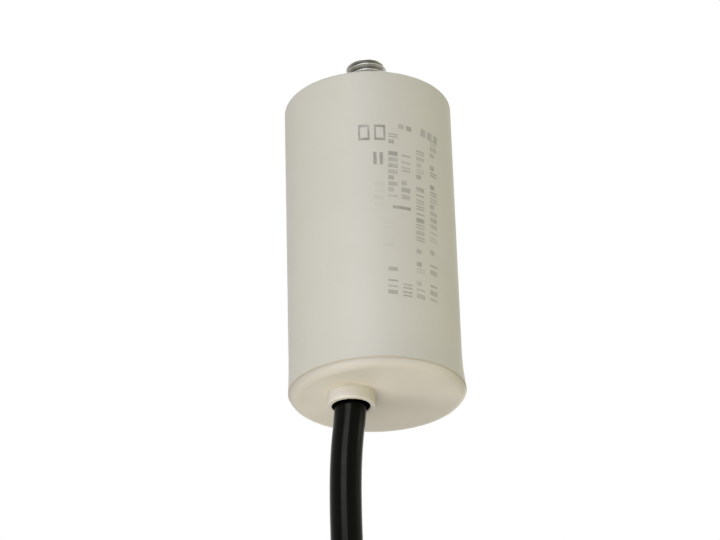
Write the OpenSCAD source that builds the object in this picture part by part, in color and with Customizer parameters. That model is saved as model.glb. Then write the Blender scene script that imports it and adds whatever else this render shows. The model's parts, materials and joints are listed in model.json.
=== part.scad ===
// Motor run capacitor: a film winding potted in a moulded can, fixed by a stud, with a cable through its lid.
// Millimetres. The origin is the middle of the stud-end face, and +Z runs out along the stud.

/* [Can] */
// Outer diameter of the can
can_d = 32; // [30:0.5:45]
// Length of the can, from its stud-end face to its mouth
can_length = 59.3; // [50:0.1:80]
// Thickness of the side wall
can_wall = 1.2; // [0.8:0.1:1.6]
// Thickness of the closed end
can_base = 2.4; // [1.6:0.1:4]
// Radius of the outer edge at the closed end
can_edge_r = 0.5; // [0.2:0.1:1]
// How far the mouth is stretched outwards, on the radius
mouth_flare = 0.4; // [0.1:0.05:0.8]
// Length of the stretched mouth
flare_length = 8; // [5:0.5:14]
// Depth of the recess round the foot of the stud
recess_depth = 0.6; // [0.3:0.1:1.2]
// Width of the recess round the foot of the stud
recess_width = 0.8; // [0.4:0.1:2]

/* [Mounting stud] */
// Thread diameter over the crests
stud_d = 8; // [6:1:10]
// Length that stands out of the can
stud_length = 10; // [8:0.5:16]
// Chamfer on the free end
stud_chamfer = 0.6; // [0.4:0.1:1.2]
// How much narrower the plain neck is than the thread, on the radius
neck_step = 0.5; // [0.3:0.1:1]
// Width of the moulded-in head across its flats
head_flats = 13; // [12:0.5:16]
// Height of the moulded-in head
head_height = 4; // [2.5:0.5:6]
// Plastic between the stud-end face and the head
head_bury = 1.8; // [1.4:0.1:3]
// Plastic round and behind the head
head_cover = 1.4; // [1:0.1:2]

/* [Lid] */
// Thickness of the lid's plate
lid_thickness = 1.45; // [1:0.05:2.5]
// How far the lid's rounded edge reaches in from its rim
lid_edge_width = 2.05; // [1.5:0.05:3]
// Depth of the plug that sits in the can's mouth
plug_depth = 5; // [3:0.5:7]
// Wall of the plug
plug_wall = 1.4; // [1:0.1:2]
// Gap between the plug and the can
plug_gap = 0.05; // [0.02:0.01:0.2]
// Radius of the snap bead round the plug
bead_r = 0.3; // [0.2:0.05:0.4]
// Chamfer on the can at the seam, and how far the lid's rim stands back there
seam_chamfer = 0.1; // [0.05:0.05:0.3]

/* [Cable boss] */
// Distance of the boss from the can's axis
boss_offset = 6; // [4:0.5:8]
// Direction of the boss about the can's axis
boss_angle = 219; // [0:1:359]
// Outer diameter of the boss
boss_d = 8.8; // [8:0.1:11]
// Height of the boss above the lid's face
boss_height = 2.65; // [2:0.05:6]
// Fillet between the boss and the lid's face
boss_fillet = 0.25; // [0.2:0.05:1]
// Radius of the boss's end edge
boss_edge_r = 0.3; // [0.1:0.05:0.6]
// Diameter of the cable hole
cable_hole_d = 7; // [6.6:0.1:8]

/* [Film winding] */
// Diameter of the wound roll
winding_d = 16; // [12:0.5:18]
// Outer diameter of the core tube
winding_core_d = 6; // [4:0.5:8]
// Wall of the core tube
winding_core_wall = 1.2; // [0.6:0.1:1.6]
// Thickness of the sprayed metal on each end
contact_thickness = 0.8; // [0.4:0.1:1.5]

/* [Potting and joints] */
// Shrinkage gap between the resin and what it holds
resin_shrink = 0.05; // [0.02:0.01:0.1]
// Air gap between the resin and the lid's plug
resin_gap = 2; // [1:0.5:4]
// Radius of a solder joint
solder_r = 2.4; // [2:0.1:3]
// Height at which a solder joint meets its lead
solder_height = 1.6; // [1.2:0.1:1.8]

/* [Cable] */
// Outer diameter of the sheath
cable_d = 5.8; // [5:0.1:6.2]
// Outer diameter of one insulated core
core_d = 2.3; // [1.8:0.1:2.5]
// Diameter of the stranded conductor
conductor_d = 1.2; // [0.8:0.1:1.5]
// Depth of the sheath's end inside the can's mouth
sheath_depth = 11; // [9:0.5:14]
// Room for the cores between the sheath's end and the winding
lead_room = 7.5; // [6:0.5:12]
// Gap between the two cores
core_gap = 0.3; // [0.2:0.05:0.5]
// Gap that the leads keep from the winding and the can
lead_gap = 0.5; // [0.3:0.1:1]
// Bare length of each core at the far end
tip_length = 7; // [4:0.5:10]
// Bend radius of a free core at the far end
core_bend_r = 60; // [40:5:120]
// Angle through which a free core bends
core_bend_angle = 22; // [10:1:30]

/* [Cable tie] */
// Width of the strap
tie_width = 2.5; // [2:0.1:4]
// Thickness of the strap
tie_thickness = 1; // [0.8:0.1:1.4]
// Gap between the strap and the cable
tie_gap = 0.15; // [0.1:0.05:0.3]
// Side of the square head
tie_head = 4.4; // [3.5:0.1:6]
// Length of the tail left beyond the head
tie_tail = 1.5; // [0.5:0.5:4]

/* [Hidden] */
$fn = 96;

// Overlap of cutting tools and of fused forms
over = 0.5;
// Sides of the swept cable
cable_sides = 12;
// How far a bent lead bulges at its corners
bend_swell = 0.1;

// Radii
can_r = can_d / 2;
bore_r = can_r - can_wall;
mouth_r = can_r + mouth_flare;
flare_arc_r = (flare_length * flare_length + mouth_flare * mouth_flare) / (2 * mouth_flare);
lid_r = mouth_r - seam_chamfer;
lid_edge_arc_r = (lid_edge_width * lid_edge_width + lid_thickness * lid_thickness) / (2 * lid_thickness);
stud_r = stud_d / 2;
neck_r = stud_r - neck_step;
recess_r = stud_r + recess_width;
head_corner_r = head_flats / 2 / cos(30);
insert_boss_r = head_corner_r + head_cover;
plug_r = bore_r - plug_gap;
boss_r = boss_d / 2;
cable_r = cable_d / 2;
core_r = core_d / 2;
winding_r = winding_d / 2;
winding_core_r = winding_core_d / 2;

// Depths below the stud-end face
head_end = head_bury + head_height;
insert_end = head_end + head_cover;
winding_start = insert_end + core_d + 2 * lead_gap;
sheath_end = can_length - sheath_depth;
winding_end = sheath_end - lead_room;
film_start = winding_start + contact_thickness;
film_end = winding_end - contact_thickness;
bead_depth = can_length - plug_depth / 2;
resin_level = can_length - plug_depth - resin_gap;
lid_face = can_length + lid_thickness;
boss_end = lid_face + boss_height;

// Place of the cable's axis where it leaves the boss
exit_x = boss_offset * cos(boss_angle);
exit_y = boss_offset * sin(boss_angle);

// The two cores lie side by side in the sheath, on the radius through the boss
core_pitch = core_d + core_gap;
brown_radius = boss_offset - core_pitch / 2;
blue_radius = boss_offset + core_pitch / 2;

// Blue lead, as [distance from the axis, height]: out past the roll, along it and in over its far end
blue_side = winding_r + core_r + lead_gap;
blue_height = core_r + lead_gap / 2 - winding_start;
blue_joint = winding_r / 2;
blue_route = [
    [blue_radius, -sheath_end],
    [blue_radius, core_d - sheath_end],
    [blue_side, -winding_end],
    [blue_side, blue_height],
    [blue_joint + solder_height, blue_height]
];

// Free cable, as [sideways, height] from the middle of the boss's mouth: a slow bow, then straight down
hang_points = [
    [0, 4], [-0.1, 0.5], [-0.4, -3], [-0.8, -6.5], [-1.1, -10], [-1.3, -14], [-1.4, -19], [-1.4, -24],
    [-1.3, -32], [-1.3, -48], [-1.3, -66]
];
// The put-away length is a tied loop, mirrored about the hank's middle; its first point is at the tie
hank_middle = [1.7, -73];
loop_points = [
    [-3, 0], [-3, -2.5], [-3.4, -7], [-4.5, -11.5], [-6.3, -16], [-8.4, -19.5], [-11.5, -24], [-14.6, -28.5],
    [-17, -33.5], [-17.8, -39], [-16.8, -44.5], [-14.2, -49.4], [-10.2, -53.3], [-5.2, -55.7]
];
loop_bottom = [0, -56.5];
// Where the sheath is stripped, past the tie
strip_point = [3, 7];
hank_points = concat(
    loop_points,
    [loop_bottom],
    [for (i = [len(loop_points) - 1:-1:0]) [-loop_points[i][0], loop_points[i][1]]],
    [[strip_point[0], strip_point[1] / 2], strip_point]
);
cable_route = concat(
    [[0, boss_end - sheath_end]],
    hang_points,
    [for (p = hank_points) hank_middle + p]
);

// Directions in which the free cores lean, about the stripped end
brown_lean = 20;
blue_lean = -50;

// Quarter of a disc between the first and second axes, for rounded edges of revolved outlines
module quarter_disc(r) {
    intersection() {
        circle(r);
        square(r);
    }
}

// Hollow left between two walls at a right angle by a ball of radius r, in the first quarter
module fillet_corner(r) {
    difference() {
        square(r);
        translate([r, r]) circle(r);
    }
}

// Points of one ring of a tube on a route in the upright plane, square to the route at point i
function ring_points(route, i, r, sides) =
    let (
        ahead = route[min(i + 1, len(route) - 1)] - route[max(i - 1, 0)],
        along = ahead / norm(ahead)
    )
    [for (k = [0:sides - 1])
        let (a = 360 * (k + 0.5) / sides)
        [route[i][0] + r * cos(a) * along[1], r * sin(a), route[i][1] - r * cos(a) * along[0]]
    ];

// Tube of diameter d swept along a route of [sideways, height] points
module swept_tube(route, d, sides) {
    rings = [for (i = [0:len(route) - 1]) each ring_points(route, i, d / 2, sides)];
    last = (len(route) - 1) * sides;
    walls = [for (i = [0:len(route) - 2], k = [0:sides - 1])
        [i * sides + k, i * sides + (k + 1) % sides, (i + 1) * sides + (k + 1) % sides, (i + 1) * sides + k]
    ];
    first_cap = [for (k = [sides - 1:-1:0]) k];
    last_cap = [for (k = [0:sides - 1]) last + k];
    polyhedron(rings, concat([first_cap], walls, [last_cap]), convexity = 6);
}

// Outline of the can's wall and closed end, with a rounded edge and a stretched mouth
module can_outline() {
    difference() {
        union() {
            translate([0, -can_length]) square([can_r, can_length - can_edge_r]);
            translate([0, -can_edge_r]) square([can_r - can_edge_r, can_edge_r]);
            translate([can_r - can_edge_r, -can_edge_r]) quarter_disc(can_edge_r);
            difference() {
                translate([0, -can_length]) square([mouth_r, flare_length]);
                translate([can_r + flare_arc_r, flare_length - can_length]) circle(flare_arc_r, $fn = 360);
            }
        }
        translate([0, -can_length - over]) square([bore_r, can_length + over - can_base]);
        translate([bore_r, -bead_depth]) circle(bead_r + plug_gap);
        seam_cut();
    }
    translate([0, -insert_end]) square([insert_boss_r, insert_end - can_base + over]);
}

// Chamfer round the can's mouth
module seam_cut() {
    translate([mouth_r, -can_length])
        polygon([[-seam_chamfer, 0], [seam_chamfer, 0], [seam_chamfer, 2 * seam_chamfer]]);
}

// Moulded cup, with the recess and the pocket that it forms round the stud
module can() {
    color("#d3cec4") difference() {
        rotate_extrude() can_outline();
        translate([0, 0, -recess_depth]) cylinder(r = recess_r, h = recess_depth + over);
        translate([0, 0, -head_bury - over]) cylinder(r = neck_r, h = head_bury + over);
        stud_head();
    }
}

module stud_head() {
    translate([0, 0, -head_end]) cylinder(r = head_corner_r, h = head_height, $fn = 6);
}

// Stud with a six-sided head that keeps it from turning in the plastic
module mounting_stud() {
    color("#8f8e89") union() {
        stud_head();
        rotate_extrude() polygon([
            [0, -head_bury - over], [neck_r, -head_bury - over], [neck_r, 0], [stud_r, 0],
            [stud_r, stud_length - stud_chamfer], [stud_r - stud_chamfer, stud_length], [0, stud_length]
        ]);
    }
}

// Outline of the lid's plate, its rounded edge, its plug and the snap bead
module lid_outline() {
    translate([0, -lid_face]) square([lid_r - lid_edge_width, lid_thickness]);
    translate([lid_r - lid_edge_width, -lid_face]) intersection() {
        square([lid_edge_width, lid_thickness]);
        translate([0, lid_edge_arc_r]) circle(lid_edge_arc_r);
    }
    translate([plug_r - plug_wall, -can_length - over]) square([plug_wall, plug_depth + over]);
    translate([plug_r, -bead_depth]) circle(bead_r);
}

// Outline of the cable boss, hanging from the lid's face at height 0
module boss_outline() {
    translate([0, boss_edge_r - boss_height]) square([boss_r, boss_height - boss_edge_r + over]);
    translate([0, -boss_height]) square([boss_r - boss_edge_r, boss_height]);
    translate([boss_r - boss_edge_r, boss_edge_r - boss_height]) mirror([0, 1]) quarter_disc(boss_edge_r);
    translate([boss_r, 0]) mirror([0, 1]) fillet_corner(boss_fillet);
}

// Moulded cap with an off-centre boss for the cable
module lid() {
    color("#c9bfa9") difference() {
        union() {
            rotate_extrude() lid_outline();
            translate([exit_x, exit_y, -lid_face]) rotate_extrude() boss_outline();
        }
        translate([exit_x, exit_y, -boss_end - over])
            cylinder(d = cable_hole_d, h = boss_height + lid_thickness + 2 * over);
    }
}

module winding_core() {
    color("#e6e2d8") translate([0, 0, -film_end]) difference() {
        cylinder(r = winding_core_r, h = film_end - film_start);
        translate([0, 0, -over])
            cylinder(r = winding_core_r - winding_core_wall, h = film_end - film_start + 2 * over);
    }
}

// All the turns of film, as one roll
module film_winding() {
    color("#b9bcc0") translate([0, 0, -film_end]) difference() {
        cylinder(r = winding_r, h = film_end - film_start);
        translate([0, 0, -over]) cylinder(r = winding_core_r, h = film_end - film_start + 2 * over);
    }
}

// Metal sprayed on one end of the roll, from the given depth on
module end_contact(depth) {
    color("#9a9c9e") translate([0, 0, -depth - contact_thickness])
        cylinder(r = winding_r, h = contact_thickness);
}

module stud_end_contact() {
    end_contact(winding_start);
}

module lid_end_contact() {
    end_contact(film_end);
}

// Blob of solder on a flat contact, cut square where its lead meets it, upwards or leaning by tilt
module solder_blob(tilt, r) {
    intersection() {
        sphere(r);
        translate([-r, -r, 0]) cube(2 * r);
        rotate([0, tilt, 0]) translate([-r, -r, solder_height - 2 * r]) cube(2 * r);
    }
}

module place_brown_solder() {
    rotate([0, 0, boss_angle]) translate([brown_radius, 0, -winding_end]) rotate([180, 0, 0]) children();
}

module place_blue_solder() {
    rotate([0, 0, boss_angle]) translate([blue_joint, 0, -winding_start]) children();
}

module brown_solder() {
    color("#a9abad") place_brown_solder() solder_blob(0, solder_r);
}

module blue_solder() {
    color("#a9abad") place_blue_solder() solder_blob(90, solder_r);
}

// Straight core from the sheath's end to the near end of the roll
module brown_lead_form(gap) {
    rotate([0, 0, boss_angle]) translate([brown_radius, 0, -sheath_end - gap])
        cylinder(r = core_r + gap, h = lead_room - solder_height + 2 * gap);
}

module brown_lead() {
    color("#6b4227") brown_lead_form(0);
}

// Round wire along [sideways, height] points in the upright plane, a little swollen where it is bent
module wire_path(route, r) {
    for (i = [0:len(route) - 2]) {
        run = route[i + 1] - route[i];
        translate([route[i][0], 0, route[i][1]]) {
            rotate([0, atan2(run[0], run[1]), 0]) cylinder(r = r, h = norm(run));
            if (i > 0) sphere(r + bend_swell);
        }
    }
}

// Core from the sheath's end to the far end of the roll
module blue_lead_form(gap) {
    rotate([0, 0, boss_angle]) wire_path(blue_route, core_r + gap);
}

module blue_lead() {
    color("#2f5f9e") blue_lead_form(0);
}

// Resin that fills the can up to its level, formed round all that it holds
module potting_resin() {
    color("#3a3a36") difference() {
        translate([0, 0, -resin_level])
            cylinder(r = bore_r - resin_shrink, h = resin_level - can_base - resin_shrink);
        translate([0, 0, -insert_end - resin_shrink])
            cylinder(r = insert_boss_r + resin_shrink, h = insert_end);
        translate([0, 0, -winding_end - resin_shrink])
            cylinder(r = winding_r + resin_shrink, h = winding_end - winding_start + 2 * resin_shrink);
        place_brown_solder() solder_blob(0, solder_r + resin_shrink);
        place_blue_solder() solder_blob(90, solder_r + resin_shrink);
        brown_lead_form(resin_shrink);
        blue_lead_form(resin_shrink);
        translate([exit_x, exit_y, -resin_level - over])
            cylinder(r = cable_r, h = resin_level - sheath_end + over);
    }
}

// Round two-core cable, from its end in the resin to the stripped far end
module cable_sheath() {
    color("#1b1b1c") translate([exit_x, exit_y, -boss_end]) swept_tube(cable_route, cable_d, cable_sides);
}

// Moves to the stripped end of the sheath and turns to the way one core leans
module place_free_core(lean, side) {
    end = hank_middle + strip_point;
    translate([exit_x + end[0] + side * core_pitch / 2, exit_y, end[1] - boss_end])
        rotate([0, 0, lean]) children();
}

// Insulated core that bends gently away from the sheath
module free_core() {
    translate([core_bend_r, 0, 0]) rotate([90, 0, 0]) mirror([1, 0, 0])
        rotate_extrude(angle = core_bend_angle) translate([core_bend_r, 0]) circle(core_r);
}

// Bare end of a core, straight on from its bend
module free_tip() {
    translate([core_bend_r, 0, 0]) rotate([0, core_bend_angle, 0]) translate([-core_bend_r, 0, 0])
        cylinder(d = conductor_d, h = tip_length);
}

module brown_core() {
    color("#6b4227") place_free_core(brown_lean, 1) free_core();
}

module blue_core() {
    color("#2f5f9e") place_free_core(blue_lean, -1) free_core();
}

module brown_tip() {
    color("#b8b9bb") place_free_core(brown_lean, 1) free_tip();
}

module blue_tip() {
    color("#b8b9bb") place_free_core(blue_lean, -1) free_tip();
}

// Outline round both runs of the cable, at the given distance from the sheath
module two_runs(gap) {
    half = strip_point[0];
    for (side = [-1, 1]) translate([side * half, 0]) circle(cable_r + gap);
    translate([-half, -cable_r - gap]) square([2 * half, 2 * (cable_r + gap)]);
}

// Nylon strap drawn round both runs, with its head and a short cut tail
module cable_tie() {
    head_y = -cable_r - tie_gap - tie_head + over;
    color("#e9e7e0")
        translate([exit_x + hank_middle[0], exit_y, hank_middle[1] - boss_end - tie_width / 2]) {
            difference() {
                union() {
                    linear_extrude(tie_width) two_runs(tie_gap + tie_thickness);
                    translate([-tie_head / 2, head_y, (tie_width - tie_head) / 2])
                        cube([tie_head, tie_head, tie_head]);
                }
                translate([0, 0, -tie_head]) linear_extrude(tie_width + 2 * tie_head) two_runs(tie_gap);
            }
            translate([-tie_thickness / 2, head_y - tie_tail, 0])
                cube([tie_thickness, tie_tail + over, tie_width]);
        }
}

can();
mounting_stud();
lid();
winding_core();
film_winding();
stud_end_contact();
lid_end_contact();
brown_lead();
blue_lead();
brown_solder();
blue_solder();
potting_resin();
cable_sheath();
brown_core();
blue_core();
brown_tip();
blue_tip();
cable_tie();
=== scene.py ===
import json
import math
import random

import bmesh
import bpy
from mathutils import Matrix, Vector


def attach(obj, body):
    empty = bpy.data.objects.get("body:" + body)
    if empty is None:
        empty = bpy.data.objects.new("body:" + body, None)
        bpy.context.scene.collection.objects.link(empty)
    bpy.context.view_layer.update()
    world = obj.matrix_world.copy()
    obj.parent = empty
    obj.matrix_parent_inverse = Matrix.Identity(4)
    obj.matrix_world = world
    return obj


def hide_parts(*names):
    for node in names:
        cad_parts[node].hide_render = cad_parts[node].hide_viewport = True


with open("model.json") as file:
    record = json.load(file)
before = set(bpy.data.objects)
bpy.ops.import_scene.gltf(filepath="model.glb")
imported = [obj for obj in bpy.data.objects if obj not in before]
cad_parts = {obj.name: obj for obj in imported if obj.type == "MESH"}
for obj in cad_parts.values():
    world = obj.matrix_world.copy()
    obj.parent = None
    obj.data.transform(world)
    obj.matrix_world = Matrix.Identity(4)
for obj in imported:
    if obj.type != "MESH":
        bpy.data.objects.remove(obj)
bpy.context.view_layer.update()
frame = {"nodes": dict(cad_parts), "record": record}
mm = 0.001

# View
# The capacitor hangs by its stud and is seen from below its lid, through a long lens that is
# held a little askew.
image_width = 720
focal_pixels = 2544.3
sensor_width = 36
look_up = math.radians(26.412)
askew = math.radians(-1.684)
view_distance = 480.12 * mm
farthest_seen = 20
aim = Vector((0, 0, -28 * mm))
aim_right = 2.18 * mm
aim_above = 5.375 * mm

forward = Vector((0, math.cos(look_up), math.sin(look_up)))
upright = Vector((0, -math.sin(look_up), math.cos(look_up)))
level = Vector((1, 0, 0))
right = math.cos(askew) * level + math.sin(askew) * upright
up = math.cos(askew) * upright - math.sin(askew) * level
stand = aim - aim_right * right - aim_above * up - view_distance * forward


def put_in_scene(name, data):
    """New object of a mesh, curve, lamp or camera, in the scene."""
    thing = bpy.data.objects.new(name, data)
    bpy.context.scene.collection.objects.link(thing)
    return thing


lens = bpy.data.cameras.new("view")
lens.sensor_width = sensor_width
lens.lens = focal_pixels / image_width * sensor_width
lens.clip_end = farthest_seen
camera = put_in_scene("view", lens)
camera.matrix_world = Matrix.Translation(stand) @ Matrix((right, up, -forward)).transposed().to_4x4()
bpy.context.scene.camera = camera
bpy.context.scene.view_settings.view_transform = "Standard"

# Film roll
# Two metallised plastic films wound tightly on a plastic tube. The roll's silvery side shows
# the fine lines of its turns.
film_silver = "#b4b8bd"
film_shade = "#8d9196"
tube_white = "#e4e0d4"
tube_shade = "#d3cdbd"
turn_lines = 6000
turn_waver = 1.5
patch_detail = 3.0
patch_rough = 0.55
patch_span = (0.3, 0.7)
grain_detail = 2.0
grain_rough = 0.5
grain_strength = 0.6


def tone(code):
    """Linear colour of a written one such as #d3cec4."""
    parts = [int(code[i:i + 2], 16) / 255 for i in (1, 3, 5)]
    return [c / 12.92 if c <= 0.04045 else ((c + 0.055) / 1.055) ** 2.4 for c in parts] + [1.0]


def feed(tree, value, socket):
    """Links an output to a socket, or sets the socket to a plain value."""
    if isinstance(value, bpy.types.NodeSocket):
        tree.links.new(value, socket)
    else:
        socket.default_value = value


def add_node(tree, kind, **inputs):
    """New shader node with some of its inputs set or linked, by name; a space is written as _."""
    node = tree.nodes.new(kind)
    for name, value in inputs.items():
        feed(tree, value, node.inputs[name.replace("_", " ")])
    return node


def mix_tones(tree, factor, first, second):
    """Colour between two others, each an output or a plain colour."""
    node = tree.nodes.new("ShaderNodeMix")
    node.data_type = "RGBA"
    feed(tree, factor, node.inputs[0])
    feed(tree, first, node.inputs[6])
    feed(tree, second, node.inputs[7])
    return node.outputs[2]


def scale_range(tree, value, from_low, from_high, to_low, to_high):
    """Value carried from one range to another and held inside it."""
    node = add_node(tree, "ShaderNodeMapRange", Value=value, From_Min=from_low, From_Max=from_high,
                    To_Min=to_low, To_Max=to_high)
    return node.outputs["Result"]


def new_effect(name, inputs, outputs):
    """Empty shader group with number sockets; returns it with its two end nodes."""
    group = bpy.data.node_groups.new(name, "ShaderNodeTree")
    for socket in inputs:
        group.interface.new_socket(socket, in_out="INPUT", socket_type="NodeSocketFloat")
    for socket in outputs:
        group.interface.new_socket(socket, in_out="OUTPUT", socket_type="NodeSocketFloat")
    return group, group.nodes.new("NodeGroupInput"), group.nodes.new("NodeGroupOutput")


def place_on_piece(tree):
    """Object coordinates of the point that is shaded."""
    return tree.nodes.new("ShaderNodeTexCoord").outputs["Object"]


def make_surface_grain():
    """Slow patches of tone and a fine grain, both on object coordinates."""
    group, given, result = new_effect("surface_grain", ["Patches", "Grain"], ["Patch", "Height"])
    place = place_on_piece(group)
    patch = add_node(group, "ShaderNodeTexNoise", Vector=place, Scale=given.outputs["Patches"],
                     Detail=patch_detail, Roughness=patch_rough)
    grain = add_node(group, "ShaderNodeTexNoise", Vector=place, Scale=given.outputs["Grain"],
                     Detail=grain_detail, Roughness=grain_rough)
    spread = scale_range(group, patch.outputs[0], *patch_span, 0.0, 1.0)
    group.links.new(spread, result.inputs["Patch"])
    group.links.new(grain.outputs[0], result.inputs["Height"])
    return group


surface_grain = make_surface_grain()


def add_effect(tree, group, **inputs):
    """New node of a shader group with some of its inputs set, by name."""
    node = tree.nodes.new("ShaderNodeGroup")
    node.node_tree = group
    for name, value in inputs.items():
        feed(tree, value, node.inputs[name])
    return node


class Finish:
    """Material with one shader, patchy tones and a fine grain."""

    def __init__(self, name, pale, deep, patches, grain, rough, relief, metallic=0.0):
        self.material = bpy.data.materials.new(name)
        self.material.use_nodes = True
        self.tree = self.material.node_tree
        self.shader = self.tree.nodes["Principled BSDF"]
        self.shader.inputs["Metallic"].default_value = metallic
        effect = add_effect(self.tree, surface_grain, Patches=patches, Grain=grain)
        self.patch = effect.outputs["Patch"]
        self.colour = mix_tones(self.tree, self.patch, tone(pale), tone(deep))
        self.tree.links.new(self.colour, self.shader.inputs["Base Color"])
        patchy_rough = scale_range(self.tree, self.patch, 0.0, 1.0, *rough)
        self.tree.links.new(patchy_rough, self.shader.inputs["Roughness"])
        self.bump = add_node(self.tree, "ShaderNodeBump", Strength=grain_strength, Distance=relief,
                             Height=effect.outputs["Height"])
        self.tree.links.new(self.bump.outputs["Normal"], self.shader.inputs["Normal"])

    def cover(self, factor, colour):
        """Lays another colour over this one where the factor says."""
        self.colour = mix_tones(self.tree, factor, self.colour, tone(colour))
        self.tree.links.new(self.colour, self.shader.inputs["Base Color"])

    def put_on(self, *nodes):
        """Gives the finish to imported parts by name."""
        for name in nodes:
            for slot in frame["nodes"][name].material_slots:
                slot.material = self.material


film = Finish("wound_film", film_silver, film_shade, patches=180, grain=2500, rough=(0.28, 0.42),
              relief=0.01 * mm, metallic=0.9)
film_turns = add_node(film.tree, "ShaderNodeTexWave", Vector=place_on_piece(film.tree), Scale=turn_lines,
                      Distortion=turn_waver)
film_turns.wave_type = "RINGS"
film_turns.rings_direction = "Z"
film.tree.links.new(film_turns.outputs[1], film.bump.inputs["Height"])
film.put_on("film_winding")

tube = Finish("roll_tube", tube_white, tube_shade, patches=150, grain=3000, rough=(0.4, 0.5),
              relief=0.01 * mm)
tube.put_on("winding_core")

# Sprayed ends
# Molten zinc is sprayed on both ends of the roll, where it catches every turn of film. It is a
# dull, sandy grey.
zinc_pale = "#a9abac"
zinc_deep = "#828486"

spray = Finish("sprayed_zinc", zinc_pale, zinc_deep, patches=900, grain=4500, rough=(0.6, 0.8),
               relief=0.06 * mm, metallic=0.7)
spray.put_on("stud_end_contact", "lid_end_contact")

# Leads and joints
# The cable's two cores run on inside the can, one to each end of the roll, and are soldered to
# the sprayed metal.
brown_pale = "#7a4a2c"
brown_deep = "#6b3f25"
blue_pale = "#2f66ad"
blue_deep = "#285998"
solder_pale = "#b9bcbe"
solder_deep = "#989b9e"

for core, pale, deep in [("brown", brown_pale, brown_deep), ("blue", blue_pale, blue_deep)]:
    insulation = Finish(core + "_insulation", pale, deep, patches=220, grain=2600, rough=(0.36, 0.46),
                        relief=0.008 * mm)
    insulation.put_on(core + "_lead", core + "_core")
solder = Finish("solder", solder_pale, solder_deep, patches=500, grain=1800, rough=(0.2, 0.38),
                relief=0.02 * mm, metallic=1.0)
solder.put_on("brown_solder", "blue_solder")

# Can
# One cup of pale grey-white plastic, moulded with a shallow recess round its stud. The mouth is
# stretched a little by the lid that is pressed into it.
can_r = 16 * mm
can_length = 59.3 * mm
bore_r = 14.8 * mm
can_base = 2.4 * mm
can_edge = 0.5 * mm
mouth_r = 16.4 * mm
flare_length = 8 * mm
flare_steps = 8
recess_r = 4.8 * mm
recess_depth = 0.6 * mm
recess_edge = 0.2 * mm
neck_r = 3.5 * mm
head_flats = 13 * mm
head_top = -1.8 * mm
head_end = -5.8 * mm
hex_half_side = math.radians(30)
pocket_r = head_flats / 2 / math.cos(hex_half_side)
head_cover = 1.4 * mm
insert_r = pocket_r + head_cover
insert_end = head_end - head_cover
plug_depth = 5 * mm
plug_gap = 0.05 * mm
bead_r = 0.3 * mm
bead_height = plug_depth / 2 - can_length
groove_r = bead_r + plug_gap
rim_inside = 11 * mm
seam_chamfer = 0.1 * mm
mouth_lean = 0.2 * mm
round_steps = 192
same_place = 0.001 * mm
same_ring = 0.002 * mm
can_pale = "#cec9ba"
can_deep = "#cac5b6"
# Tan of the dirt in the can's seam, also laid as painted shade round the boss's foot.
dirt_and_shade_tan = "#ac9f85"
seam_reach = 0.25 * mm


def draw_outline(bm, points):
    """Chain of edges through [radius, height] points, in the plane of the axis."""
    verts = [bm.verts.new((radius, 0, height)) for radius, height in points]
    edges = [bm.edges.new(pair) for pair in zip(verts, verts[1:])]
    return verts + edges


def turn_outline(bm, points, centre=(0, 0, 0)):
    """Full turn of an outline about an upright axis through centre."""
    outline = draw_outline(bm, points)
    bmesh.ops.translate(bm, verts=[g for g in outline if isinstance(g, bmesh.types.BMVert)], vec=centre)
    bmesh.ops.spin(bm, geom=outline, cent=centre, axis=(0, 0, 1), angle=math.tau, steps=round_steps,
                   use_merge=True)


def ring_edges(bm, radius, height, centre=(0, 0, 0)):
    """Edges of one round edge of a turned shape."""
    middle = Vector(centre)

    def on_ring(vert):
        offset = vert.co - middle
        return abs(offset.xy.length - radius) < same_ring and abs(vert.co.z - height) < same_ring

    return [edge for edge in bm.edges if all(on_ring(vert) for vert in edge.verts)]


def round_ring(bm, radius, height, size, segments, centre=(0, 0, 0)):
    """Rounds one round edge of a turned shape."""
    bmesh.ops.bevel(bm, geom=ring_edges(bm, radius, height, centre), offset=size, segments=segments,
                    profile=0.5, affect="EDGES", material=-1, clamp_overlap=True)


def finished_piece(bm, name, material, crease=35):
    """Object of the mesh, facing outwards and smooth up to the crease angle."""
    bmesh.ops.remove_doubles(bm, verts=bm.verts[:], dist=same_place)
    bmesh.ops.recalc_face_normals(bm, faces=bm.faces[:])
    mesh = bpy.data.meshes.new(name)
    bm.to_mesh(mesh)
    bm.free()
    mesh.shade_smooth()
    mesh.set_sharp_from_angle(angle=math.radians(crease))
    mesh.materials.append(material)
    piece = put_in_scene(name, mesh)
    flats = piece.modifiers.new("flat_faces", "WEIGHTED_NORMAL")
    flats.keep_sharp = True
    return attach(piece, "root")


def lean_mouth(bm):
    """Moves the stretched mouth, and a lid's rim in it, a little to one side."""
    for vert in bm.verts:
        depth = (flare_length - can_length - vert.co.z) / flare_length
        if depth > 0 and vert.co.xy.length > rim_inside:
            vert.co.x += mouth_lean * min(depth, 1) ** 2


def calculate(tree, operation, *values):
    """Result of a Math node on one or two values, each an output or a plain number."""
    node = tree.nodes.new("ShaderNodeMath")
    node.operation = operation
    for value, socket in zip(values, node.inputs):
        feed(tree, value, socket)
    return node.outputs[0]


def make_seam_dirt_and_shade():
    """Mask that is full at one height and fades out within a reach on both sides of it."""
    group, given, result = new_effect("seam_dirt_and_shade", ["Level", "Reach"], ["Dirt"])
    height = add_node(group, "ShaderNodeSeparateXYZ", Vector=place_on_piece(group)).outputs["Z"]
    away = calculate(group, "ABSOLUTE", calculate(group, "SUBTRACT", height, given.outputs["Level"]))
    fade = scale_range(group, away, 0.0, given.outputs["Reach"], 1.0, 0.0)
    group.links.new(fade, result.inputs["Dirt"])
    return group


seam_dirt_and_shade = make_seam_dirt_and_shade()


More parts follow.
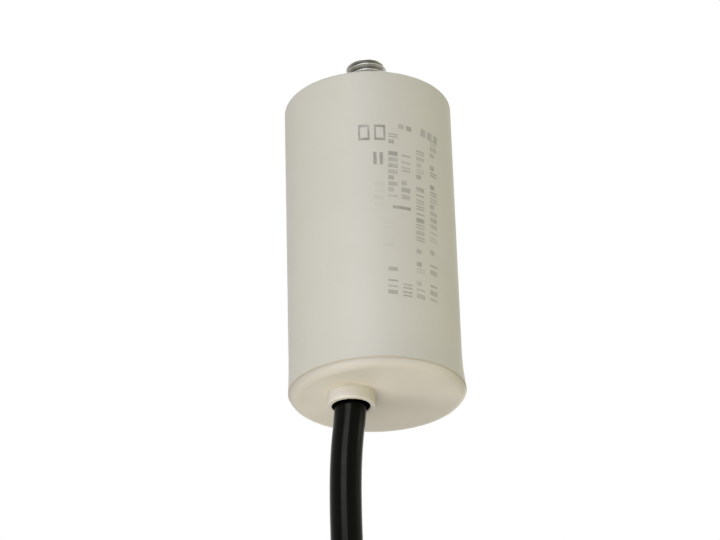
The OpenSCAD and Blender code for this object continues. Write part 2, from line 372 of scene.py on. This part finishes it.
def lay_seam_dirt_and_shade(finish, colour, reach, share=1.0):
    """Colour in and near the seam between can and lid, on either of them, with a share of its strength; it
    lays the seam's dirt and the painted shade on the lid's rounded edge.
    """
    effect = add_effect(finish.tree, seam_dirt_and_shade, Level=-can_length, Reach=reach)
    finish.cover(calculate(finish.tree, "MULTIPLY", effect.outputs["Dirt"], share), colour)


flare_rise = mouth_r - can_r
flare_arc = (flare_length ** 2 + flare_rise ** 2) / (2 * flare_rise)
flare = []
for step in range(1, flare_steps + 1):
    drop = (flare_length - seam_chamfer) * step / flare_steps
    swell = flare_arc - math.sqrt(flare_arc ** 2 - drop ** 2)
    flare.append((can_r + swell, flare_length - can_length - drop))

can_mesh = bmesh.new()
turn_outline(can_mesh, [
    (0, head_end), (pocket_r, head_end), (pocket_r, head_top), (neck_r, head_top), (neck_r, -recess_depth),
    (recess_r, -recess_depth), (recess_r, 0), (can_r, 0), (can_r, flare_length - can_length), *flare,
    (mouth_r - seam_chamfer, -can_length), (bore_r, -can_length), (bore_r, bead_height - groove_r),
    (bore_r + groove_r, bead_height), (bore_r, bead_height + groove_r), (bore_r, -can_base),
    (insert_r, -can_base), (insert_r, insert_end), (0, insert_end)
])
bmesh.ops.remove_doubles(can_mesh, verts=can_mesh.verts[:], dist=same_place)
round_ring(can_mesh, can_r, 0, can_edge, segments=6)
round_ring(can_mesh, recess_r, 0, recess_edge, segments=3)
lean_mouth(can_mesh)

can_plastic = Finish("can_plastic", can_pale, can_deep, patches=60, grain=2200, rough=(0.42, 0.5),
                     relief=0.012 * mm)
lay_seam_dirt_and_shade(can_plastic, dirt_and_shade_tan, seam_reach)
can = finished_piece(can_mesh, "moulded_can", can_plastic.material)
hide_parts("can")

# Print
# Rows of small grey ink marks along one side of the can, stamped on and worn faint in places. They
# are plain blocks, bars and frames.
ink_pale = "#8d8a7e"
ink_deep = "#827f75"
ink_lift = 0.015 * mm
ink_seed = 7
ink_spread = (0.6, 1.0)
ink_wear_from = 0.2
ink_least = 0.45
mark_gap = 0.22
stroke_steps = 4
# Strokes of each form: shifts along and across the row, then length and width, all in shares of a mark.
strokes = {
    "block": [(0, 0, 0.9, 1)],
    "slim": [(0, 0, 0.36, 1)],
    "pair": [(-0.28, 0, 0.3, 1), (0.28, 0, 0.3, 1)],
    "half": [(0, -0.2, 0.9, 0.6)],
    "frame": [(-0.41, 0, 0.18, 1), (0.41, 0, 0.18, 1), (0, -0.42, 0.64, 0.16), (0, 0.42, 0.64, 0.16)],
}
common_marks = ["block", "block", "pair", "half", "slim"]
# Rows: both ends as degrees from the front and a height, then the marks' height, their strength, and
# how many stand in each group.
print_rows = [
    ((16.5, -13.1), (14.9, -27.1), 1.8, 0.8, [2, 8]),
    ((13.4, -40.9), (12.6, -46.7), 1.8, 0.8, [1, 3]),
    ((5.9, -23.5), (5.4, -28.9), 1.8, 0.2, [4]),
    ((11.5, -31.3), (10.9, -37.2), 1.8, 0.16, [2, 2]),
    ((25.3, -17.0), (23.9, -27.1), 1.8, 0.8, [3, 3]),
    ((23.0, -43.9), (22.6, -47.0), 1.8, 0.8, [2]),
    ((36.4, -15.7), (32.2, -46.9), 1.8, 0.8, [5, 9, 1, 2, 3]),
    ((49.0, -12.4), (42.9, -46.9), 1.8, 0.8, [3, 2, 9, 1, 2, 3]),
    ((18.8, -11.3), (53.4, -12.3), 1.7, 0.8, [2, 3]),
]
# Single marks: form, both ends, height and strength.
large_marks = [
    ("frame", (-7.0, -13.4), (0.6, -13.4), 3.3, 1.0),
    ("frame", (3.6, -13.4), (11.2, -13.4), 3.3, 1.0),
    ("pair", (2.0, -18.9), (9.6, -18.9), 2.6, 0.8),
    ("slim", (20.8, -28.0), (20.8, -29.8), 3.5, 1.0),
]


ink_mesh = bmesh.new()
ink_left = ink_mesh.verts.layers.float.new("ink")


def on_side(place):
    """Flat place, along and up the can, of an angle from its front and a height."""
    angle, height = place
    return Vector((math.radians(angle) * can_r, height * mm))


def draw_mark(form, start, end, height, strength):
    """One ink mark between two flat places on its row, drawn in strokes across and along the row."""
    along = end - start
    across = Vector((-along.y, along.x)).normalized() * height
    middle = (start + end) / 2
    for shift_along, shift_across, length, width in strokes[form]:
        stroke = bmesh.ops.create_grid(ink_mesh, x_segments=stroke_steps, y_segments=stroke_steps, size=0.5)
        for vert in stroke["verts"]:
            step_along = along * (shift_along + length * vert.co.x)
            step_across = across * (shift_across + width * vert.co.y)
            vert.co = (*(middle + step_along + step_across), 0)
            vert[ink_left] = strength


def painted_share(tree, name):
    """Share that the points of a piece carry under a name."""
    node = tree.nodes.new("ShaderNodeAttribute")
    node.attribute_name = name
    return node.outputs["Fac"]


ink_draw = random.Random(ink_seed)
for first, last, height, strength, groups in print_rows:
    row_start = on_side(first)
    mark_pitch = (on_side(last) - row_start) / (sum(groups) + len(groups) - 1)
    for marks in groups:
        for _ in range(marks):
            form = ink_draw.choice(common_marks)
            inked = strength * ink_draw.uniform(*ink_spread)
            mark_start = row_start + mark_gap * mark_pitch
            row_start = row_start + mark_pitch
            draw_mark(form, mark_start, row_start, height * mm, inked)
        row_start = row_start + mark_pitch
for form, first, last, height, strength in large_marks:
    draw_mark(form, on_side(first), on_side(last), height * mm, strength)
ink_r = can_r + ink_lift
for vert in ink_mesh.verts:
    angle = vert.co.x / can_r
    vert.co = (ink_r * math.sin(angle), -ink_r * math.cos(angle), vert.co.y)

ink = Finish("print_ink", ink_pale, ink_deep, patches=300, grain=2200, rough=(0.45, 0.55),
             relief=0.01 * mm)
ink_worn = scale_range(ink.tree, ink.patch, ink_wear_from, 1.0, 1.0, ink_least)
ink_kept = calculate(ink.tree, "MULTIPLY", painted_share(ink.tree, "ink"), ink_worn)
ink.cover(calculate(ink.tree, "SUBTRACT", 1.0, ink_kept), can_pale)
finished_piece(ink_mesh, "ink_print", ink.material)

# Stud
# Zinc-plated steel stud with a rolled M8 thread and a chamfered end. Its six-sided head is
# moulded into the closed end of the can, so it can't turn.
stud_r = 3.94 * mm
stud_length = 10 * mm
stud_chamfer = 0.45 * mm
pitch = 1.25 * mm
crest_width = pitch / 8
depth_share = 0.6134
thread_depth = depth_share * pitch
flank_angle = math.radians(30)
flank = thread_depth * math.tan(flank_angle)
root_r = stud_r - thread_depth
turn_steps = 96
spare_turns = 2
outline_cuts = 2
thread_start = -1.44 * mm
plate_pale = "#c9c8c3"
plate_deep = "#aaa9a2"
# Painted shade in the thread's grooves, darkest at their roots.
groove_painted_shade = "#77766f"
groove_from = 0.3
groove_shade_most = 0.9


def taper_end(bm):
    """Draws the thread in to the chamfer's cone near the free end."""
    for vert in bm.verts:
        limit = stud_r - max(0, vert.co.z - (stud_length - stud_chamfer))
        reach = vert.co.xy.length
        if reach > limit:
            vert.co.xy *= limit / reach


def cut_level(bm, height, side):
    """Cuts the mesh at a height, drops what lies above (1) or below (-1), and returns the cut edges."""
    everything = bm.verts[:] + bm.edges[:] + bm.faces[:]
    cut = bmesh.ops.bisect_plane(bm, geom=everything, plane_co=(0, 0, height), plane_no=(0, 0, side),
                                 clear_outer=True)
    return [g for g in cut["geom_cut"] if isinstance(g, bmesh.types.BMEdge)]


def grow_ring(bm, edges, reach, height):
    """New ring beyond a ring of edges, each of its points at the reach for its direction."""
    grown = bmesh.ops.extrude_edge_only(bm, edges=edges)["geom"]
    verts = {g for g in grown if isinstance(g, bmesh.types.BMVert)}
    for vert in verts:
        direction = vert.co.xy.normalized()
        vert.co.xy = direction * reach(math.atan2(direction.y, direction.x))
        vert.co.z = height
    return [g for g in grown if isinstance(g, bmesh.types.BMEdge) and all(v in verts for v in g.verts)]


def neck_reach(angle):
    """Distance of the round neck's side from the axis, the same in any direction."""
    return neck_r


def head_reach(angle):
    """Distance of the six-sided head's side from the axis, in one direction."""
    sixth = math.tau / 6
    return head_flats / 2 / math.cos((angle % sixth) - sixth / 2)


thread_mesh = bmesh.new()
thread_turns = math.ceil(stud_length / pitch) + spare_turns
draw_outline(thread_mesh, [
    (root_r, thread_start), (stud_r, thread_start + flank), (stud_r, thread_start + flank + crest_width),
    (root_r, thread_start + 2 * flank + crest_width), (root_r, thread_start + pitch)
])
bmesh.ops.subdivide_edges(thread_mesh, edges=thread_mesh.edges[:], cuts=outline_cuts)
bmesh.ops.spin(thread_mesh, geom=thread_mesh.verts[:] + thread_mesh.edges[:], cent=(0, 0, 0),
               axis=(0, 0, 1), dvec=(0, 0, pitch / turn_steps), angle=math.tau * thread_turns,
               steps=turn_steps * thread_turns)
bmesh.ops.remove_doubles(thread_mesh, verts=thread_mesh.verts[:], dist=same_place)
groove_share = thread_mesh.verts.layers.float.new("groove")
for vert in thread_mesh.verts:
    vert[groove_share] = (stud_r - vert.co.xy.length) / thread_depth
taper_end(thread_mesh)
bmesh.ops.contextual_create(thread_mesh, geom=cut_level(thread_mesh, stud_length, 1))
last_ring = cut_level(thread_mesh, 0, -1)
neck_and_head = [(neck_reach, 0), (neck_reach, head_top), (head_reach, head_top), (head_reach, head_end)]
for reach, height in neck_and_head:
    last_ring = grow_ring(thread_mesh, last_ring, reach, height)
bmesh.ops.contextual_create(thread_mesh, geom=last_ring)

plate = Finish("zinc_plate", plate_pale, plate_deep, patches=700, grain=3500, rough=(0.38, 0.52),
               relief=0.008 * mm, metallic=1.0)
# Painted shade, darker towards the thread's roots.
plate_groove = painted_share(plate.tree, "groove")
plate.cover(scale_range(plate.tree, plate_groove, groove_from, 1.0, 0.0, groove_shade_most), groove_painted_shade)
stud = finished_piece(thread_mesh, "threaded_stud", plate.material, crease=25)
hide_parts("mounting_stud")

# Resin
# Casting resin that fills the can round the roll and holds the end of the cable. A little of it
# can be seen through the lid's hole.
resin_pale = "#1f1e1b"
resin_deep = "#171614"

resin = Finish("casting_resin", resin_pale, resin_deep, patches=120, grain=900, rough=(0.22, 0.34),
               relief=0.02 * mm)
resin.put_on("potting_resin")

# Lid
# Cream plastic cap with a rounded edge and a plug that snaps into the can's mouth. A short round boss
# for the cable stands off to one side of it. Painted shade lies on the rounded edge, round the boss's
# foot and inside its hole, and painted light makes the boss's wall paler on its left.
lid_thickness = 1.45 * mm
lid_face = -can_length - lid_thickness
lid_r = mouth_r - seam_chamfer
lid_edge = 2.05 * mm
lid_edge_steps = 10
plug_r = bore_r - plug_gap
plug_wall = 1.4 * mm
plug_end = plug_depth - can_length
boss_offset = 6 * mm
boss_angle = math.radians(219)
boss_r = 4.4 * mm
boss_height = 2.65 * mm
boss_end = lid_face - boss_height
boss_fillet = 0.12 * mm
boss_edge = 0.3 * mm
hole_r = 3.5 * mm
hole_edge = 0.15 * mm
face_r = 13 * mm
inner_r = 12.5 * mm
foot_reach = 0.7 * mm
foot_margin = 1.1 * boss_fillet
wall_margin = boss_edge / 10
bore_margin = hole_edge / 10
boss_middle = Vector((boss_offset * math.cos(boss_angle), boss_offset * math.sin(boss_angle), 0))
lid_pale = "#d6cdb9"
lid_deep = "#d0c7b3"
lid_gloss = 0.25
# Painted shade on the lid's rounded edge, full at the left and fading towards the right.
edge_painted_shade = "#b6b0a5"
edge_shade_reach = 1.4 * mm
edge_shade_fade = (2 * mm, 12 * mm)
edge_shade_least = 0.25
# Painted shade inside the boss's hole.
bore_painted_shade = "#1f1e1b"
# Painted light: paler colour of the boss's wall on its left.
boss_painted_light = "#d9d2c6"
# Painted shade round the boss's foot, strongest near its middle.
foot_painted_shade = 0.6
# Where the boss's foot carries painted shade and its wall painted light, in shares of its radius to the
# right of its middle.
foot_shade_middle = -0.1
foot_shade_spread = 0.95
boss_light_end = 0.35

lid_arc = (lid_edge ** 2 + lid_thickness ** 2) / (2 * lid_thickness)
lid_arc_angle = math.asin(lid_edge / lid_arc)
lid_round = []
for step in range(lid_edge_steps + 1):
    around = lid_arc_angle * step / lid_edge_steps
    outwards = lid_arc * math.sin(around)
    upwards = lid_arc * (1 - math.cos(around))
    lid_round.append((lid_r - lid_edge + outwards, lid_face + upwards))

lid_mesh = bmesh.new()
turn_outline(lid_mesh, [
    (face_r, lid_face), *lid_round, (plug_r, -can_length), (plug_r, bead_height - bead_r),
    (plug_r + bead_r, bead_height), (plug_r, bead_height + bead_r), (plug_r, plug_end),
    (plug_r - plug_wall, plug_end), (plug_r - plug_wall, -can_length), (inner_r, -can_length)
])
turn_outline(lid_mesh, [
    (boss_r + foot_reach, lid_face), (boss_r, lid_face), (boss_r, lid_face - foot_reach),
    (boss_r, boss_end), (hole_r, boss_end), (hole_r, -can_length)
], centre=boss_middle)
bmesh.ops.remove_doubles(lid_mesh, verts=lid_mesh.verts[:], dist=same_place)
for outer_r, offset_r, height in [(face_r, boss_r + foot_reach, lid_face), (inner_r, hole_r, -can_length)]:
    both_rings = ring_edges(lid_mesh, outer_r, height) + ring_edges(lid_mesh, offset_r, height, boss_middle)
    bmesh.ops.triangle_fill(lid_mesh, edges=both_rings, use_beauty=True)
round_ring(lid_mesh, boss_r, lid_face, boss_fillet, segments=5, centre=boss_middle)
round_ring(lid_mesh, boss_r, boss_end, boss_edge, segments=4, centre=boss_middle)
round_ring(lid_mesh, hole_r, boss_end, hole_edge, segments=3, centre=boss_middle)
lean_mouth(lid_mesh)
# Shares for painted shade inside the hole (bore) and round the boss's foot (foot), and for painted light on
# the boss's left wall (wall).
bore_share = lid_mesh.verts.layers.float.new("bore")
foot_share = lid_mesh.verts.layers.float.new("foot")
wall_light_share = lid_mesh.verts.layers.float.new("wall")
for vert in lid_mesh.verts:
    from_boss = (vert.co - boss_middle).xy.length
    rightwards = (vert.co.x - boss_middle.x) / boss_r
    from_wall = abs(from_boss - boss_r)
    vert[bore_share] = float(from_boss < hole_r + bore_margin)
    if from_wall < foot_margin and abs(vert.co.z - lid_face) < foot_margin:
        vert[foot_share] = foot_painted_shade * max(1 - abs(rightwards - foot_shade_middle) / foot_shade_spread, 0)
    if from_wall < wall_margin and vert.co.z < lid_face - foot_reach / 2:
        vert[wall_light_share] = min(max(boss_light_end - rightwards, 0), 1)

lid_plastic = Finish("lid_plastic", lid_pale, lid_deep, patches=80, grain=2400, rough=(0.4, 0.48),
                     relief=0.012 * mm)
lid_plastic.shader.inputs["Specular IOR Level"].default_value = lid_gloss
# Painted shade on the lid's rounded edge, weaker towards the right.
lid_place = add_node(lid_plastic.tree, "ShaderNodeSeparateXYZ", Vector=place_on_piece(lid_plastic.tree))
edge_shade_share = scale_range(lid_plastic.tree, lid_place.outputs["X"], *edge_shade_fade, 1.0, edge_shade_least)
lay_seam_dirt_and_shade(lid_plastic, edge_painted_shade, edge_shade_reach, edge_shade_share)
lay_seam_dirt_and_shade(lid_plastic, dirt_and_shade_tan, seam_reach)
# Painted light on the boss's left wall, painted shade round its foot and inside its hole.
for share, colour in [("wall", boss_painted_light), ("foot", dirt_and_shade_tan), ("bore", bore_painted_shade)]:
    lid_plastic.cover(painted_share(lid_plastic.tree, share), colour)
lid = finished_piece(lid_mesh, "moulded_lid", lid_plastic.material)
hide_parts("lid")

# Cable
# Round two-core cable with a black soft-plastic sheath. It leaves the boss in a slow bow, and its
# spare length hangs below as a tied loop.
cable_d = 5.8 * mm
cable_start = 15.1 * mm
cable_exit = Vector((boss_middle.x, boss_middle.y, boss_end))
# Points of the route as [x, z] in millimetres: the hanging run from the exit, the loop from its middle.
hang_points = [
    [0, 4], [-0.1, 0.5], [-0.4, -3], [-0.8, -6.5], [-1.1, -10], [-1.3, -14], [-1.4, -19], [-1.4, -24],
    [-1.3, -32], [-1.3, -48], [-1.3, -66]
]
hank_middle = [1.7, -73]
loop_points = [
    [-3, 0], [-3, -2.5], [-3.4, -7], [-4.5, -11.5], [-6.3, -16], [-8.4, -19.5], [-11.5, -24],
    [-14.6, -28.5], [-17, -33.5], [-17.8, -39], [-16.8, -44.5], [-14.2, -49.4], [-10.2, -53.3],
    [-5.2, -55.7]
]
loop_bottom = [0, -56.5]
strip_point = [3, 7]
sheath_black = "#020202"
sheath_deep = "#010101"
sheath_gloss = 0.07
sheath_warmth = (1, 1, 0.82, 1)
curve_steps = 8

hank_points = loop_points + [loop_bottom] + [[-x, z] for x, z in reversed(loop_points)]
hank_points += [[strip_point[0], strip_point[1] / 2], strip_point]
route = [Vector((0, 0, cable_start))] + [Vector((x, 0, z)) * mm for x, z in hang_points]
route += [Vector((hank_middle[0] + x, 0, hank_middle[1] + z)) * mm for x, z in hank_points]

line = bpy.data.curves.new("cable", "CURVE")
line.dimensions = "3D"
line.bevel_depth = cable_d / 2
line.bevel_resolution = curve_steps
line.resolution_u = curve_steps
line.use_fill_caps = True
spline = line.splines.new("BEZIER")
spline.bezier_points.add(len(route) - 1)
for knot, point in zip(spline.bezier_points, route):
    knot.co = cable_exit + point
    knot.handle_left_type = "AUTO"
    knot.handle_right_type = "AUTO"
cable = put_in_scene("cable", line)
sheath = Finish("black_sheath", sheath_black, sheath_deep, patches=300, grain=2400, rough=(0.17, 0.23),
                relief=0.003 * mm)
sheath.shader.inputs["Specular IOR Level"].default_value = sheath_gloss
sheath.shader.inputs["Specular Tint"].default_value = sheath_warmth
line.materials.append(sheath.material)
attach(cable, "root")
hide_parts("cable_sheath")

# Wire ends
# The cores are stripped at their ends, down to copper strands that are tinned, so that they hold
# together in a clamp. Six strands are laid round one.
outer_strands = 6
strand_r = 0.2 * mm
strand_gap = 0.004 * mm
strand_ring = 2 * strand_r + strand_gap
strand_lay = 10 * mm
strand_sides = 8
strand_steps = 24
tinned_pale = "#c3c4c4"
tinned_deep = "#9fa09f"

tinned = Finish("tinned_copper", tinned_pale, tinned_deep, patches=900, grain=4000, rough=(0.22, 0.36),
                relief=0.004 * mm, metallic=1.0)


def lay_strand(bm, place, length):
    """One strand of round wire, turned about the wire's axis as it runs along it."""
    ring = bmesh.ops.create_circle(bm, segments=strand_sides, radius=strand_r, cap_ends=True)
    bmesh.ops.translate(bm, verts=ring["verts"], vec=(*place, -length / 2))
    faces = list({face for vert in ring["verts"] for face in vert.link_faces})
    twist = math.tau * length / strand_lay
    bmesh.ops.spin(bm, geom=faces, cent=(0, 0, 0), axis=(0, 0, 1), angle=twist, steps=strand_steps,
                   dvec=(0, 0, length / strand_steps))


for mount in frame["record"]["mounts"]:
    if not mount["name"].endswith("_wire"):
        continue
    wire_mesh = bmesh.new()
    tip_length = mount["dims"]["length_mm"] * mm
    lay_strand(wire_mesh, (0, 0), tip_length)
    for number in range(outer_strands):
        around = math.tau * number / outer_strands
        lay_strand(wire_mesh, (strand_ring * math.cos(around), strand_ring * math.sin(around)), tip_length)
    along = Vector(mount["axis"])
    aim_wire = Matrix.Translation(mount["pos_m"]) @ along.to_track_quat("Z", "Y").to_matrix().to_4x4()
    bmesh.ops.transform(wire_mesh, matrix=aim_wire, verts=wire_mesh.verts[:])
    colour_name = mount["name"].removesuffix("_wire")
    wire_end = finished_piece(wire_mesh, colour_name + "_wire_end", tinned.material, crease=60)
    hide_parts(colour_name + "_tip")

# Cable tie
# Small nylon tie drawn round both runs of the loop, with its tail cut short. All its edges are
# slightly rounded by the mould.
tie_edge = 0.12 * mm
tie_flat = math.radians(1)
tie_corner = math.radians(60)
nylon_pale = "#eceae2"
nylon_deep = "#e0ddd2"

tie_mesh = bmesh.new()
tie_mesh.from_mesh(frame["nodes"]["cable_tie"].data)
bmesh.ops.remove_doubles(tie_mesh, verts=tie_mesh.verts[:], dist=same_place)
bmesh.ops.dissolve_limit(tie_mesh, angle_limit=tie_flat, verts=tie_mesh.verts[:], edges=tie_mesh.edges[:])
tie_edges = [e for e in tie_mesh.edges if e.is_manifold and e.calc_face_angle() > tie_corner]
bmesh.ops.bevel(tie_mesh, geom=tie_edges, offset=tie_edge, segments=2, profile=0.5, affect="EDGES",
                material=-1, clamp_overlap=True)
nylon = Finish("tie_nylon", nylon_pale, nylon_deep, patches=200, grain=2500, rough=(0.34, 0.46),
               relief=0.008 * mm)
tie = finished_piece(tie_mesh, "nylon_tie", nylon.material)
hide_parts("cable_tie")

# Studio
# A pale floor well below the hanging part, softboxes in front at two heights, a large one below
# at the left, others at the right, above and behind, and an even white surround.
floor_height = -0.9
floor_r = 15.0
floor_tone = "#a5a4a1"
floor_shine = "#f8f7f5"
floor_glow = 0.75
floor_rough = 0.9
lamp_distance = 0.75
surround_strength = 0.28
# Softboxes: degrees to the side and above the level, size, power and colour.
softboxes = [
    ("front_softbox", -14, 19.5, (0.48, 0.1), 1.35, (0.9, 0.91, 1)),
    ("level_softbox", -8, -10, (0.3, 0.3), 0.8, (0.74, 0.87, 1)),
    ("low_softbox", -34, -50, (0.8, 0.4), 5.2, (0.97, 0.975, 1)),
    ("right_softbox", 90, -5, (0.3, 0.5), 1.75, (1, 0.99, 0.68)),
    ("top_softbox", 180, 65, (0.4, 0.4), 1.8, (1, 1, 1)),
    ("back_softbox", 170, 0, (0.5, 0.5), 1.2, (1, 1, 1)),
]


def seen_rays(tree):
    """Mask that is full for rays from the camera and for those of a reflection or through glass."""
    path = tree.nodes.new("ShaderNodeLightPath")
    seen = path.outputs["Is Camera Ray"]
    for kind in ("Is Glossy Ray", "Is Transmission Ray"):
        seen = calculate(tree, "MAXIMUM", seen, path.outputs[kind])
    return seen


floor_mesh = bmesh.new()
bmesh.ops.create_circle(floor_mesh, segments=round_steps, radius=floor_r, cap_ends=True)
bmesh.ops.translate(floor_mesh, verts=floor_mesh.verts[:], vec=(0, 0, floor_height))
floor_data = bpy.data.meshes.new("floor")
floor_mesh.to_mesh(floor_data)
floor_mesh.free()
floor = put_in_scene("floor", floor_data)
floor_finish = bpy.data.materials.new("floor_paper")
floor_finish.use_nodes = True
floor_tree = floor_finish.node_tree
floor_shader = floor_tree.nodes["Principled BSDF"]
floor_shader.inputs["Base Color"].default_value = tone(floor_tone)
floor_shader.inputs["Roughness"].default_value = floor_rough
floor_shader.inputs["Specular IOR Level"].default_value = 0.0
floor_shader.inputs["Emission Strength"].default_value = floor_glow
floor_light = mix_tones(floor_tree, seen_rays(floor_tree), (0, 0, 0, 1), tone(floor_shine))
floor_tree.links.new(floor_light, floor_shader.inputs["Emission Color"])
floor_data.materials.append(floor_finish)


def soft_light(name, turn, rise, size, power, colour):
    """Softbox that faces the can's middle, at degrees to the side of the view and above the level."""
    lamp = bpy.data.lights.new(name, "AREA")
    lamp.shape = "RECTANGLE"
    lamp.size, lamp.size_y = size
    lamp.energy = power
    lamp.color = colour
    side, height = math.radians(turn), math.radians(rise)
    away = Vector((math.sin(side) * math.cos(height), -math.cos(side) * math.cos(height), math.sin(height)))
    faced = away.to_track_quat("Z", "Y").to_matrix().to_4x4()
    box = put_in_scene(name, lamp)
    box.matrix_world = Matrix.Translation(aim + lamp_distance * away) @ faced


for softbox in softboxes:
    soft_light(*softbox)

world = bpy.data.worlds.new("white_surround")
world.use_nodes = True
sky = world.node_tree
sky.nodes.clear()
glow = add_node(sky, "ShaderNodeBackground", Color=(1, 1, 1, 1), Strength=surround_strength)
white = add_node(sky, "ShaderNodeBackground", Color=(1, 1, 1, 1), Strength=1.0)
choice = sky.nodes.new("ShaderNodeMixShader")
sky.links.new(seen_rays(sky), choice.inputs[0])
sky.links.new(glow.outputs[0], choice.inputs[1])
sky.links.new(white.outputs[0], choice.inputs[2])
sky_out = sky.nodes.new("ShaderNodeOutputWorld")
sky.links.new(choice.outputs[0], sky_out.inputs["Surface"])
bpy.context.scene.world = world
